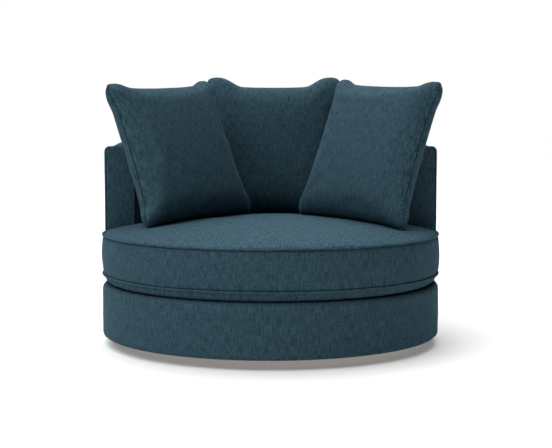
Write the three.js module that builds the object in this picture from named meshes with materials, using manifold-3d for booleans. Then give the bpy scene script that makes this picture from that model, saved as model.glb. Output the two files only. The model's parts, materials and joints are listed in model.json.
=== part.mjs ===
// Cuddle chair: a round drum that turns on a ball race, a barrel shell, a boxed round seat
// cushion and three loose pillows. Millimetres, +Z up, origin on the floor under the middle.
// The front of the chair faces -Y.
import * as THREE from 'three';
import { mergeVertices } from 'three/addons/utils/BufferGeometryUtils.js';
import Module from 'manifold-3d';

const wasm = await Module();
wasm.setup();

// Whole chair
const fullRadius = 620;
const coverThickness = 3;
const fitGap = 0.3;
const cutOverrun = 2;

// Base that stands on the floor
const glideRadius = 20;
const glideHeight = 5;
const glideCircleRadius = 280;
const glideCount = 6;
const floorDiscRadius = 310;
const floorDiscThickness = 15;
const discEdgeBevel = 3;

// Ball race
const raceOuterRadius = 150;
const racePlateThickness = 4;
const raceOpening = 8;
const raceRimWidth = 12;
const ballRadius = 5;
const ballClearance = 0.4;
const ballCircleRadius = 105;
const ballCount = 12;
const cageThickness = 2;
const cageWidth = 15;

// King bolt and screws
const boltRadius = 5;
const boltHeadRadius = 12;
const boltHeadHeight = 6;
const boltTail = 4;
const washerRadius = 14;
const washerThickness = 2;
const nutRadius = 9.5;
const nutHeight = 9;
const screwRadius = 2.5;
const screwHeadRadius = 5;
const screwHeadHeight = 3;
const screwLength = 14;
const screwCircleRadius = 132;
const screwCount = 4;

// Drum
const drumHeight = 191;
const drumShoulderRound = 22;
const drumHemRound = 12;
const hemTurn = 55;
const drumFlap = 10;
const boardThickness = 18;
const hoopThickness = 4;
const hoopSetback = 3;
const drumPostWidth = 45;
const drumPostDepth = 40;
const drumPostSetback = 12;
const drumPostCount = 6;
const deckRingWidth = 125;
const deckClothThickness = 2;
const deckClothMargin = 4;

// Zig-zag springs
const springFieldMargin = 82;
const springRailWidth = 60;
const springRailThickness = 22;
const springRailOverlap = 40;
const springWireRadius = 2;
const springWidth = 62;
const springBendRadius = 21;
const springCount = 5;
const springArch = 5;
const clipLength = 14;
const clipWidth = 26;
const clipThickness = 2.5;

// Shell
const shellHeight = 491;
const shellThickness = 108;
const shellEndSetback = 60;
const shellOuterRound = 16;
const shellInnerRound = 10;
const shellInnerFoam = 30;
const shellPostWidth = 45;
const shellPostDepth = 40;
const shellPostCount = 5;
const shellBoardThickness = 4;
const topRailThickness = 18;
const topFoam = 13;
const weltRadius = 4;
const weltInset = 1.5;

// Seat cushion
const seatRoll = 36;
const seatBorder = 142;
const seatCrown = 58;
const seatBulge = 6;
const seatEdgeInset = 3;
const seatShellGap = 3;
const seatPipingRadius = 4;
const seatFloorInset = 48;
const zipLength = 300;
const zipWidth = 12;
const zipRoom = 8;

// Loose pillows
const pillowWidth = 530;
const pillowHeight = 562;
const backPillowHeight = 582;
const pillowThickness = 140;
const pillowPipingRadius = 4;
const pillowSeamInset = 12;
const fillGap = 0.5;
const zipSlit = 4;
const slideStep = 2;
const pillowGap = 3;

// Shares and angles, chosen by hand
const edgeDrawShare = 0.14;
const cornerPullShare = 0.03;
const cornerPower = 8;
const plumpPower = 4;
const pillowTaperShare = -0.02;
const crownPowerShares = { run: 2.2, rise: 0.7 };
const backPose = { acrossShare: 0.02, lean: 9, tallShare: backPillowHeight / pillowHeight };
const sidePoses = [
  { name: 'left', acrossShare: -0.67, yaw: 46, lean: 22.6, roll: -2.2 },
  { name: 'right', acrossShare: 0.72, yaw: -46, lean: 21.5, roll: 1.9 },
];
const shellPostEndShare = 0.07;
const springRailShare = 0.73;
const springTurnAngles = [-90, -40, 40, 90];
const frontStepShare = 0.6;
const coarseShare = 0.7;
const rollWaistShare = 0.6;
const bulgeShares = [0.2, 0.5, 0.8];
const plainBulgeShares = [0.5];
const beadSitShare = 0.9;
const outsideShares = [0.35, 0.66, 0.87, 0.965];
const insideShares = [0.45, 0.8, 0.95];
const crownShares = [0.985, 0.93, 0.82, 0.64, 0.42, 0.2];
const coreShares = [0.97, 0.85, 0.6, 0.3];

// Facets
const roundSteps = 46;
const raceSteps = 36;
const shellSteps = 24;
const cornerSteps = 3;
const smallSteps = 10;
const seatSteps = 42;
const pillowSideSteps = 8;
const fillingSideSteps = 6;
const wireSides = 4;
const weltSides = 6;

// Heights and radii that follow
const discTop = glideHeight + floorDiscThickness;
const lowerRaceTop = discTop + racePlateThickness;
const upperRaceBottom = lowerRaceTop + raceOpening;
const boardBottom = upperRaceBottom + racePlateThickness;
const boardTop = boardBottom + boardThickness;
const drumBottom = boardBottom - coverThickness;
const drumTop = drumBottom + drumHeight;
const deckTop = drumTop - coverThickness;
const deckBottom = deckTop - boardThickness;
const frameRadius = fullRadius - drumShoulderRound;
const hoopInner = frameRadius + fitGap;
const hoopOuter = hoopInner + hoopThickness;
const flapInner = frameRadius - drumFlap;
const deckOpening = frameRadius - deckRingWidth;
const springField = deckOpening - springFieldMargin;
const springRailOffset = springField * springRailShare;
const springSpread = Math.sqrt(springField ** 2 - springRailOffset ** 2) - springWidth / 2;
const springSpacing = 2 * springSpread / (springCount - 1);
const shellInner = fullRadius - shellThickness;
const shellBottom = drumTop + fitGap;
const shellTop = drumTop + shellHeight;
const shellPostInner = shellInner + coverThickness + shellInnerFoam;
const shellPostOuter = shellPostInner + shellPostDepth;
const shellFacet = Math.cos(Math.PI / 2 / shellSteps);
const shellBoardInner = Math.hypot(shellPostOuter, shellPostWidth / 2) / shellFacet + fitGap;
const shellBoardOuter = shellBoardInner + shellBoardThickness;
const railTop = shellTop - coverThickness - topFoam;
const railBottom = railTop - topRailThickness;
const seatBottom = deckTop + deckClothThickness + fitGap;
const lowerPiping = seatBottom + seatRoll;
const upperPiping = lowerPiping + seatBorder;
const seatFrontRadius = fullRadius - seatEdgeInset;
const seatBackRadius = shellInner - seatShellGap - seatBulge;
const seatEarY = shellEndSetback - weltRadius - seatShellGap - seatBulge;

const cloth = { color: 0x4a6a7c, roughness: 0.95, metalness: 0 };
const steel = { color: 0x9a9da0, roughness: 0.4, metalness: 0.9 };
const blackSteel = { color: 0x2a2b2d, roughness: 0.5, metalness: 0.8 };
const timber = { color: 0xc9a878, roughness: 0.8, metalness: 0 };
const board = { color: 0xa98457, roughness: 0.85, metalness: 0 };
const foam = { color: 0xeee6cf, roughness: 1, metalness: 0 };
const fibre = { color: 0xf4f4f2, roughness: 1, metalness: 0 };
const felt = { color: 0x1c1c1e, roughness: 1, metalness: 0 };
const nylon = { color: 0xd8d8d2, roughness: 0.5, metalness: 0 };

const chair = new THREE.Group();

function addPiece(name, geometry, finish) {
  const piece = new THREE.Mesh(geometry, new THREE.MeshStandardMaterial(finish));
  piece.name = name;
  chair.add(piece);
  return piece;
}

// Leaves only positions, welds them and turns the faces outward.
function weld(geometry) {
  const bare = geometry.clone();
  bare.deleteAttribute('normal');
  bare.deleteAttribute('uv');
  const welded = mergeVertices(bare);
  const p = welded.attributes.position;
  const index = Array.from(welded.index.array);
  const kept = [];
  let volume = 0;
  const [a, b, c] = [new THREE.Vector3(), new THREE.Vector3(), new THREE.Vector3()];
  for (let i = 0; i < index.length; i += 3) {
    const [i0, i1, i2] = index.slice(i, i + 3);
    if (i0 === i1 || i1 === i2 || i2 === i0) continue;
    kept.push(i0, i1, i2);
    a.fromBufferAttribute(p, i0);
    b.fromBufferAttribute(p, i1);
    c.fromBufferAttribute(p, i2);
    volume += a.dot(b.cross(c));
  }
  welded.setIndex(volume < 0 ? kept.reverse() : kept);
  return welded;
}

function toSolid(geometry) {
  const welded = weld(geometry);
  return new wasm.Manifold(new wasm.Mesh({
    numProp: 3,
    vertProperties: new Float32Array(welded.attributes.position.array),
    triVerts: new Uint32Array(welded.index.array),
  }));
}

function toGeometry(solid) {
  const mesh = solid.getMesh();
  const geometry = new THREE.BufferGeometry();
  geometry.setAttribute('position', new THREE.BufferAttribute(mesh.vertProperties, mesh.numProp));
  geometry.setIndex(new THREE.BufferAttribute(mesh.triVerts, 1));
  return geometry;
}

function cutAway(geometry, tools) {
  return toGeometry(tools.reduce((left, tool) => left.subtract(toSolid(tool)), toSolid(geometry)));
}

function joinAll(geometries) {
  return toGeometry(geometries.map(toSolid).reduce((all, next) => all.add(next)));
}

const at = (radius, height) => new THREE.Vector2(radius, height);

function arc(centre, radius, fromDegrees, toDegrees, steps = cornerSteps) {
  return Array.from({ length: steps + 1 }, (_, i) => {
    const angle = THREE.MathUtils.degToRad(fromDegrees + (toDegrees - fromDegrees) * i / steps);
    return at(centre.x + radius * Math.cos(angle), centre.y + radius * Math.sin(angle));
  });
}

// Turns a section of radius and height about the upright axis.
function revolve(section, steps = roundSteps) {
  const first = section[0];
  const last = section[section.length - 1];
  const onAxis = first.x === 0 && last.x === 0;
  const outline = onAxis ? section : [...section, first.clone()];
  return weld(new THREE.LatheGeometry(outline, steps).rotateX(Math.PI / 2));
}

function disc(radius, bottom, top, steps = roundSteps) {
  return revolve([at(0, bottom), at(radius, bottom), at(radius, top), at(0, top)], steps);
}

function ring(inner, outer, bottom, top, steps = roundSteps) {
  return revolve([at(inner, bottom), at(outer, bottom), at(outer, top), at(inner, top)], steps);
}

function block(width, depth, bottom, top, x, y, turn = 0) {
  const box = new THREE.BoxGeometry(width, depth, top - bottom);
  box.translate(x, y, (top + bottom) / 2);
  return weld(box.rotateZ(turn));
}

// Skins rings of equally many points. Each end is a pole, when its ring holds one point,
// or a flat cap, whose triangles come from the ring's own outline.
function skin(rings, capOutline) {
  const positions = rings.flat().flatMap((p) => [p.x, p.y, p.z]);
  const starts = rings.map((_, i) => rings.slice(0, i).reduce((sum, r) => sum + r.length, 0));
  const count = Math.max(...rings.map((r) => r.length));
  const index = [];
  for (let i = 0; i + 1 < rings.length; i += 1) {
    const [low, high] = [starts[i], starts[i + 1]];
    for (let j = 0; j < count; j += 1) {
      const k = (j + 1) % count;
      if (rings[i].length === 1) index.push(low, high + j, high + k);
      else if (rings[i + 1].length === 1) index.push(low + j, high, low + k);
      else index.push(low + j, high + j, low + k, low + k, high + j, high + k);
    }
  }
  if (capOutline) {
    const end = starts[starts.length - 1];
    for (const [a, b, c] of THREE.ShapeUtils.triangulateShape(capOutline, [])) {
      index.push(a, b, c, end + a, end + c, end + b);
    }
  }
  const geometry = new THREE.BufferGeometry();
  geometry.setAttribute('position', new THREE.Float32BufferAttribute(positions, 3));
  geometry.setIndex(index);
  return weld(geometry);
}

// A wall round the back half, cut off square at both ends by the plane y = endY.
function backWall(section, endY, steps = shellSteps) {
  const anticlockwise = THREE.ShapeUtils.area(section) > 0 ? section : [...section].reverse();
  const rings = Array.from({ length: steps + 1 }, (_, i) => anticlockwise.map((p) => {
    const start = Math.asin(endY / p.x);
    const angle = start + (Math.PI - 2 * start) * i / steps;
    return new THREE.Vector3(p.x * Math.cos(angle), p.x * Math.sin(angle), p.y);
  }));
  return skin(rings, anticlockwise);
}

// A round rod along points that lie nearly level; its ends are flat.
function rod(points, radius, sides) {
  const circle = arc(at(0, 0), radius, 0, 360, sides).slice(0, sides);
  const rings = points.map((point, i) => {
    const before = points[Math.max(i - 1, 0)];
    const after = points[Math.min(i + 1, points.length - 1)];
    const along = after.clone().sub(before).normalize();
    const upright = Math.abs(along.z) > Math.SQRT1_2 || Math.abs(along.y) < Math.abs(along.z);
    const reference = upright ? new THREE.Vector3(0, 1, 0) : new THREE.Vector3(0, 0, 1);
    const side = along.clone().cross(reference).normalize();
    const top = side.clone().cross(along);
    return circle.map((c) => point.clone().addScaledVector(side, c.x).addScaledVector(top, c.y));
  });
  return skin(rings, circle);
}

// A rod in the plane y = planeY, round a section of the shell.
function weltRod(section, planeY, radius, sides) {
  const circle = arc(at(0, 0), radius, 0, 360, sides).slice(0, sides);
  const rings = section.map((point, i) => {
    const before = section[Math.max(i - 1, 0)];
    const after = section[Math.min(i + 1, section.length - 1)];
    const along = after.clone().sub(before).normalize();
    return circle.map((c) => new THREE.Vector3(
      point.x + along.y * c.x,
      planeY + c.y,
      point.y - along.x * c.x,
    ));
  });
  return skin(rings, circle);
}

// Base
function glides() {
  for (let i = 0; i < glideCount; i += 1) {
    const pad = disc(glideRadius, 0, glideHeight, smallSteps);
    const angle = 2 * Math.PI * (i + 1 / 2) / glideCount;
    const piece = addPiece(`glide_${i + 1}`, pad, felt);
    piece.position.set(glideCircleRadius * Math.cos(angle), glideCircleRadius * Math.sin(angle), 0);
  }
}

// A countersunk screw whose head is flush at height zero and whose shank points down.
function screw(spare = 0) {
  return revolve([
    at(0, -screwLength - spare),
    at(screwRadius + spare, -screwLength - spare),
    at(screwRadius + spare, -screwHeadHeight),
    at(screwHeadRadius + spare, spare),
    at(0, spare),
  ], smallSteps);
}

function screwPlace(i, flip) {
  const angle = 2 * Math.PI * (i + (flip ? 1 / 2 : 0)) / screwCount;
  const height = flip ? upperRaceBottom + fitGap : lowerRaceTop - fitGap;
  const place = new THREE.Matrix4().makeRotationX(flip ? Math.PI : 0);
  const x = screwCircleRadius * Math.cos(angle);
  const y = screwCircleRadius * Math.sin(angle);
  return place.setPosition(x, y, height);
}

function screwHoles(flip) {
  return Array.from({ length: screwCount }, (_, i) => screw(fitGap).applyMatrix4(screwPlace(i, flip)));
}

function screws(name, flip) {
  for (let i = 0; i < screwCount; i += 1) {
    addPiece(`${name}_${i + 1}`, screw().applyMatrix4(screwPlace(i, flip)), steel);
  }
}

function floorDisc() {
  const section = [
    at(0, glideHeight),
    at(floorDiscRadius - discEdgeBevel, glideHeight),
    at(floorDiscRadius, glideHeight + discEdgeBevel),
    at(floorDiscRadius, discTop - discEdgeBevel),
    at(floorDiscRadius - discEdgeBevel, discTop),
    at(0, discTop),
  ];
  const recess = disc(
    boltHeadRadius + fitGap, glideHeight - cutOverrun, glideHeight + boltHeadHeight + fitGap, smallSteps,
  );
  const bore = disc(boltRadius + fitGap, glideHeight, discTop + cutOverrun, smallSteps);
  addPiece('floor_disc', cutAway(revolve(section), [recess, bore, ...screwHoles(false)]), board);
}

// Plate with a round groove for the balls and a turned rim that stiffens it.
function racePlate(inner, outer, flip) {
  const middle = (lowerRaceTop + upperRaceBottom) / 2;
  const grooveRadius = ballRadius + ballClearance;
  const slope = THREE.MathUtils.radToDeg(Math.asin(raceOpening / 2 / grooveRadius));
  const groove = arc(at(ballCircleRadius, middle), grooveRadius, 180 + slope, 360 - slope, 2);
  const section = [
    at(inner, discTop),
    at(outer, discTop),
    at(outer, lowerRaceTop),
    ...groove.reverse(),
    at(inner, lowerRaceTop),
  ];
  return revolve(flip ? section.map((p) => at(p.x, 2 * middle - p.y)) : section, raceSteps);
}

function ballRace() {
  const bore = boltRadius + fitGap;
  const lower = racePlate(bore, raceOuterRadius, false);
  const upper = racePlate(bore, raceOuterRadius - raceRimWidth / 2, true);
  addPiece('lower_race', cutAway(lower, screwHoles(false)), steel);
  addPiece('upper_race', cutAway(upper, screwHoles(true)), steel);
  const middle = (lowerRaceTop + upperRaceBottom) / 2;
  const cage = ring(
    ballCircleRadius - cageWidth / 2, ballCircleRadius + cageWidth / 2,
    middle - cageThickness / 2, middle + cageThickness / 2, 3 * ballCount,
  );
  const balls = Array.from({ length: ballCount }, (_, i) => {
    const angle = 2 * Math.PI * i / ballCount;
    const ball = new THREE.SphereGeometry(ballRadius, 6, 4).rotateX(Math.PI / 2);
    return ball.translate(ballCircleRadius * Math.cos(angle), ballCircleRadius * Math.sin(angle), middle);
  });
  addPiece('ball_cage', joinAll([cage, ...balls]), steel);
}

function kingBolt() {
  const washerBottom = boardTop + fitGap;
  const nutBottom = washerBottom + washerThickness + fitGap;
  const tip = nutBottom + nutHeight + boltTail;
  addPiece('king_bolt', revolve([
    at(0, glideHeight),
    at(boltHeadRadius, glideHeight),
    at(boltHeadRadius, glideHeight + boltHeadHeight),
    at(boltRadius, glideHeight + boltHeadHeight),
    at(boltRadius, tip - boltRadius / 2),
    at(boltRadius / 2, tip),
    at(0, tip),
  ], smallSteps), blackSteel);
  const bore = boltRadius + fitGap;
  const washerTop = washerBottom + washerThickness;
  addPiece('king_washer', ring(bore, washerRadius, washerBottom, washerTop, smallSteps), steel);
  const hexagon = disc(nutRadius, nutBottom, nutBottom + nutHeight, 6);
  const hole = disc(bore, nutBottom - cutOverrun, nutBottom + nutHeight + cutOverrun, smallSteps);
  addPiece('king_nut', cutAway(hexagon, [hole]), steel);
}

// Drum frame
function drumFrame() {
  const bottomBoard = ring(boltRadius + fitGap, frameRadius, boardBottom, boardTop);
  addPiece('bottom_board', cutAway(bottomBoard, screwHoles(true)), board);
  const postRadius = frameRadius - drumPostSetback - drumPostDepth / 2;
  for (let i = 0; i < drumPostCount; i += 1) {
    const turn = 2 * Math.PI * (i + 1 / 2) / drumPostCount;
    const post = block(drumPostDepth, drumPostWidth, boardTop, deckBottom, postRadius, 0, turn);
    addPiece(`drum_post_${i + 1}`, post, timber);
  }
  addPiece('deck_ring', ring(deckOpening, frameRadius, deckBottom, deckTop), board);
}

// A flat wire that crosses the seat in straight legs joined by half-round bends.
function springPath(x) {
  const run = 2 * springRailOffset;
  const legs = Math.max(2, Math.floor(run / (2 * springBendRadius)));
  const pitch = run / legs;
  const reach = springWidth / 2 - pitch / 2;
  const low = deckBottom + clipThickness + springWireRadius;
  const points = [new THREE.Vector3(x, -springRailOffset, low)];
  for (let i = 0; i < legs; i += 1) {
    const side = i % 2 === 0 ? 1 : -1;
    const centreY = -springRailOffset + (i + 1 / 2) * pitch;
    for (const degrees of springTurnAngles) {
      const angle = THREE.MathUtils.degToRad(degrees);
      const across = side * (reach + (pitch / 2) * Math.cos(angle));
      const along = centreY + (pitch / 2) * Math.sin(angle);
      const rise = springArch * (1 - (along / springRailOffset) ** 2);
      points.push(new THREE.Vector3(x + across, along, low + rise));
    }
  }
  points.push(new THREE.Vector3(x, springRailOffset, low));
  return points;
}

function springDeck() {
  const half = Math.sqrt(deckOpening ** 2 - springRailOffset ** 2) + springRailOverlap;
  for (const [name, side] of [['front', -1], ['back', 1]]) {
    const y = side * springRailOffset;
    const rail = block(2 * half, springRailWidth, deckBottom - springRailThickness, deckBottom, 0, y);
    const clipTop = deckBottom + clipThickness - fitGap;
    const clips = Array.from({ length: springCount }, (_, i) => {
      const x = (i - (springCount - 1) / 2) * springSpacing;
      return block(clipLength, clipWidth, deckBottom - cutOverrun, clipTop, x, y);
    });
    addPiece(`${name}_spring_rail`, joinAll([rail, ...clips]), timber);
  }
  for (let i = 0; i < springCount; i += 1) {
    const x = (i - (springCount - 1) / 2) * springSpacing;
    addPiece(`zigzag_spring_${i + 1}`, rod(springPath(x), springWireRadius, wireSides), blackSteel);
  }
}

// Drum wrap: bent board, foam and cloth
function drumSkinSection(inset) {
  const shoulder = at(fullRadius - drumShoulderRound, drumTop - drumShoulderRound);
  const hem = at(fullRadius - drumHemRound, drumBottom + drumHemRound);
  return [
    ...arc(hem, drumHemRound - inset, -90, 0, 2),
    ...arc(shoulder, drumShoulderRound - inset, 0, 90),
  ];
}

function drumWrap() {
  addPiece('drum_hoop', ring(hoopInner, hoopOuter, boardBottom + fitGap, deckTop - hoopSetback), board);
  const foamInner = hoopOuter + fitGap;
  const foamInset = coverThickness + fitGap;
  const outside = drumSkinSection(foamInset).filter((p) => p.x > foamInner);
  addPiece('drum_foam', revolve([
    at(foamInner, drumBottom + foamInset),
    ...outside,
    at(foamInner, outside[outside.length - 1].y),
  ]), foam);
  const hemInner = fullRadius - hemTurn;
  addPiece('drum_cover', revolve([
    at(hemInner, drumBottom),
    ...drumSkinSection(0),
    at(flapInner, drumTop),
    at(flapInner, deckTop),
    ...drumSkinSection(coverThickness).reverse(),
    at(hemInner, drumBottom + coverThickness),
  ]), cloth);
}

// Plan of what lies between the shell's ends: full round in front, narrower behind.
function tPlan(front, back, earY, steps = seatSteps) {
  const tip = Math.asin(earY / front);
  const root = Math.asin(earY / back);
  const frontSteps = Math.round(steps * frontStepShare);
  const backSteps = steps - frontSteps - 2;
  const place = (radius, angle) => at(radius * Math.cos(angle), radius * Math.sin(angle));
  const points = [];
  for (let i = 0; i <= frontSteps; i += 1) {
    points.push(place(front, Math.PI - tip + (Math.PI + 2 * tip) * i / frontSteps));
  }
  for (let i = 0; i <= backSteps; i += 1) {
    points.push(place(back, root + (Math.PI - 2 * root) * i / backSteps));
  }
  return points;
}

function extrudeUp(outline, bottom, top) {
  const shape = new THREE.Shape(outline);
  const slab = new THREE.ExtrudeGeometry(shape, { depth: top - bottom, bevelEnabled: false });
  return weld(slab.translate(0, 0, bottom));
}

function deckCloth() {
  const plan = tPlan(
    flapInner - deckClothMargin, shellInner - deckClothMargin, shellEndSetback - deckClothMargin,
  );
  addPiece('deck_cloth', extrudeUp(plan, deckTop, deckTop + deckClothThickness), felt);
}

// Shell
function shellSection(inset, bottom) {
  const outer = at(fullRadius - shellOuterRound, shellTop - shellOuterRound);
  const inner = at(shellInner + shellInnerRound, shellTop - shellInnerRound);
  return [
    at(fullRadius - inset, bottom),
    ...arc(outer, shellOuterRound - inset, 0, 90),
    ...arc(inner, shellInnerRound - inset, 90, 180),
    at(shellInner + inset, bottom),
  ];
}

function shellFrame() {
  const middle = (shellPostInner + shellPostOuter) / 2;
  const frameEnd = shellEndSetback + coverThickness + fitGap;
  const firstTurn = Math.asin((frameEnd + shellPostWidth / 2) / shellPostInner) + shellPostEndShare;
  for (let i = 0; i < shellPostCount; i += 1) {
    const turn = firstTurn + (Math.PI - 2 * firstTurn) * i / (shellPostCount - 1);
    const post = block(shellPostDepth, shellPostWidth, deckTop, railBottom, middle, 0, turn);
    addPiece(`shell_post_${i + 1}`, post, timber);
  }
  const rail = [
    at(shellPostInner, railBottom),
    at(shellBoardInner - fitGap, railBottom),
    at(shellBoardInner - fitGap, railTop),
    at(shellPostInner, railTop),
  ];
  addPiece('shell_top_rail', backWall(rail, frameEnd), timber);
  const outerBoard = [
    at(shellBoardInner, shellBottom),
    at(shellBoardOuter, shellBottom),
    at(shellBoardOuter, railTop),
    at(shellBoardInner, railTop),
  ];
  addPiece('shell_board', backWall(outerBoard, frameEnd), board);
}

function shellWrap() {
  const inset = coverThickness + fitGap;
  const foamEnd = shellEndSetback + inset;
  const outerPad = shellSection(inset, shellBottom).filter((p) => p.y > railTop || p.x > shellBoardOuter);
  addPiece('shell_foam', backWall([
    ...outerPad,
    at(shellInner + inset, railTop + fitGap),
    at(shellBoardOuter + fitGap, railTop + fitGap),
    at(shellBoardOuter + fitGap, shellBottom),
  ], foamEnd), foam);
  addPiece('shell_inner_foam', backWall([
    at(shellInner + inset, shellBottom),
    at(shellPostInner - fitGap, shellBottom),
    at(shellPostInner - fitGap, railTop),
    at(shellInner + inset, railTop),
  ], foamEnd), foam);
  const whole = backWall(shellSection(0, shellBottom), shellEndSetback);
  const hollowSection = shellSection(coverThickness, shellBottom - cutOverrun);
  const hollow = backWall(hollowSection, shellEndSetback + coverThickness);
  const weltSection = shellSection(weltInset, shellBottom);
  const welt = weltRod(weltSection, shellEndSetback + weltInset, weltRadius, weltSides);
  const otherWelt = welt.clone().scale(-1, 1, 1);
  const cover = toSolid(whole).subtract(toSolid(hollow));
  const hollowRoom = toSolid(hollow);
  const welts = [welt, otherWelt].map((rodGeometry) => toSolid(rodGeometry).subtract(hollowRoom));
  addPiece('shell_cover', toGeometry(welts.reduce((all, next) => all.add(next), cover)), cloth);
}

// Seat cushion
const seatPlan = (offset, steps) => (
  tPlan(seatFrontRadius + offset, seatBackRadius + offset, seatEarY + offset, steps)
);

function crownRise(share) {
  return seatCrown * (1 - Math.min(share, 1) ** crownPowerShares.run) ** crownPowerShares.rise;
}

// Height of the crown over a point of the seat, straight between two of its rings.
function seatHeight(x, y) {
  const distance = Math.hypot(x, y);
  const rim = y > 0
    ? THREE.MathUtils.clamp(seatEarY * distance / y, seatBackRadius, seatFrontRadius)
    : seatFrontRadius;
  const share = Math.min(distance / rim, 1);
  const rings = [1, ...crownShares, 0];
  const next = rings.findIndex((ringShare) => ringShare <= share);
  const [outer, inner] = [rings[Math.max(next - 1, 0)], rings[next]];
  const mix = outer > inner ? (share - inner) / (outer - inner) : 0;
  return upperPiping + THREE.MathUtils.lerp(crownRise(inner), crownRise(outer), mix);
}

function seatRings(inset, steps, detailed) {
  const lift = (plan, height) => plan.map((p) => new THREE.Vector3(p.x, p.y, height));
  const level = (offset, height) => lift(seatPlan(offset - inset, steps), height);
  const shrink = (share, height) => (
    lift(seatPlan(-inset, steps).map((p) => p.multiplyScalar(share)), height)
  );
  const pipe = seatPipingRadius;
  const beadSteps = [[0, -pipe], [pipe * beadSitShare, 0], [0, pipe]];
  const bead = (height) => beadSteps.map(([out, up]) => level(out, height + up));
  const bulge = (share) => (
    level(seatBulge * Math.sin(Math.PI * share), lowerPiping + seatBorder * share)
  );
  const crown = (share) => shrink(share, upperPiping + crownRise(share) - inset);
  const floorShare = 1 - seatFloorInset / seatFrontRadius;
  const floor = seatBottom + inset;
  const waist = level(-seatFloorInset / 4, lowerPiping - seatRoll * rollWaistShare);
  const border = detailed
    ? [waist, ...bead(lowerPiping), ...bulgeShares.map(bulge), ...bead(upperPiping)]
    : [level(0, lowerPiping), ...plainBulgeShares.map(bulge), level(0, upperPiping)];
  return [
    [new THREE.Vector3(0, 0, floor)],
    shrink(floorShare, floor),
    ...border,
    ...(detailed ? crownShares : coreShares).map(crown),
    [new THREE.Vector3(0, 0, upperPiping + seatCrown - inset)],
  ];
}

// A curved strip of the zip's size, or with some spare room and depth its slot in the back wall.
function zipStrip(spare, depth) {
  const wallOuter = seatBackRadius + seatBulge + spare;
  const wallInner = wallOuter - depth;
  const middle = (lowerPiping + upperPiping) / 2;
  const half = zipWidth / 2 + spare;
  const reach = (zipLength / 2 + spare) / wallOuter;
  const section = [
    at(wallInner, middle - half),
    at(wallOuter, middle - half),
    at(wallOuter, middle + half),
    at(wallInner, middle + half),
  ];
  const rings = Array.from({ length: smallSteps + 1 }, (_, i) => section.map((p) => {
    const angle = Math.PI / 2 - reach + 2 * reach * i / smallSteps;
    return new THREE.Vector3(p.x * Math.cos(angle), p.x * Math.sin(angle), p.y);
  }));
  return skin(rings, section);
}

function seatCushion() {
  const coarse = Math.round(seatSteps * coarseShare);
  const outside = toSolid(skin(seatRings(0, seatSteps, true)));
  const inside = toSolid(skin(seatRings(2 * coverThickness, coarse, false)));
  const core = toSolid(skin(seatRings(2 * coverThickness + fillGap, coarse, false)));
  const slot = toSolid(zipStrip(fitGap, 2 * coverThickness + zipRoom));
  addPiece('seat_cover', toGeometry(outside.subtract(inside).subtract(slot)), cloth);
  addPiece('seat_foam', toGeometry(core.subtract(slot)), foam);
  addPiece('seat_zip', zipStrip(0, 2 * coverThickness), nylon);
}

// Loose pillows. A pillow stands in its own frame: x along its width, z up, front to -y.
function pillowPoint(u, v, side, inset, seamInset) {
  const drawU = 1 - edgeDrawShare * (1 - v * v);
  const drawV = 1 - edgeDrawShare * (1 - u * u);
  const pull = 1 - cornerPullShare * Math.abs(u * v) ** cornerPower;
  const fat = Math.sqrt((1 - Math.abs(u) ** plumpPower) * (1 - Math.abs(v) ** plumpPower));
  return new THREE.Vector3(
    (pillowWidth / 2 - seamInset) * u * drawU * pull * (1 + pillowTaperShare * v),
    side * (pillowThickness / 2 - inset) * fat,
    (pillowHeight / 2 - seamInset) * v * drawV * pull,
  );
}

function squareStations(perSide) {
  return Array.from({ length: 4 * perSide }, (_, i) => {
    const along = 2 * (i % perSide) / perSide - 1;
    return [[along, -1], [1, along], [-along, 1], [-1, -along]][Math.floor(i / perSide)];
  });
}

function pillowRings(inset, seamInset, perSide, shares, piped) {
  const stations = squareStations(perSide);
  const face = (share, side) => stations.map(([u, v]) => (
    pillowPoint(share * u, share * v, side, inset, seamInset)
  ));
  const seam = (out, side) => stations.map(([u, v]) => {
    const edge = pillowPoint(u, v, 0, inset, seamInset);
    const away = Math.hypot(edge.x, edge.z);
    edge.x += edge.x * out / away;
    edge.z += edge.z * out / away;
    edge.y = side * pillowPipingRadius * beadSitShare;
    return edge;
  });
  const rim = piped ? [seam(0, -1), seam(pillowPipingRadius, 0), seam(0, 1)] : [face(1, 0)];
  return [
    [pillowPoint(0, 0, -1, inset, seamInset)],
    ...shares.map((share) => face(share, -1)),
    ...rim,
    ...[...shares].reverse().map((share) => face(share, 1)),
    [pillowPoint(0, 0, 1, inset, seamInset)],
  ];
}

const pillowSkin = pillowRings(0, 0, pillowSideSteps, outsideShares, true);
const pillowFeelers = pillowRings(0, 0, 3 * pillowSideSteps, outsideShares, true).flat();

function pillowPlace(x, y, z, { yaw = 0, lean, roll = 0, tallShare = 1 }) {
  const [a, b, c] = [-lean, roll, yaw].map((angle) => THREE.MathUtils.degToRad(angle));
  const place = new THREE.Matrix4().makeRotationFromEuler(new THREE.Euler(a, b, c, 'ZXY'));
  return place.scale(new THREE.Vector3(1, 1, tallShare)).setPosition(x, y, z);
}

const pointsAt = (points, place) => points.map((p) => p.clone().applyMatrix4(place));
const skinAt = (place) => pointsAt(pillowFeelers, place);

// Lowers a pillow until its lowest seam lies on the crown.
function restOnSeat(x, y, pose) {
  const high = upperPiping + seatCrown + pillowHeight;
  const skinPoints = pointsAt(pillowSkin.flat(), pillowPlace(x, y, high, pose));
  const drops = skinPoints.map((p) => p.z - seatHeight(p.x, p.y));
  return pillowPlace(x, y, high - Math.min(...drops) + fitGap, pose);
}

function insidePillow(point, inverse, spare) {
  const p = point.clone().applyMatrix4(inverse);
  const u = p.x / (pillowWidth / 2);
  const v = p.z / (pillowHeight / 2);
  if (Math.abs(u) >= 1 || Math.abs(v) >= 1) return false;
  return Math.abs(p.y) < Math.abs(pillowPoint(u, v, 1, 0, 0).y) + spare;
}

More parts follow.
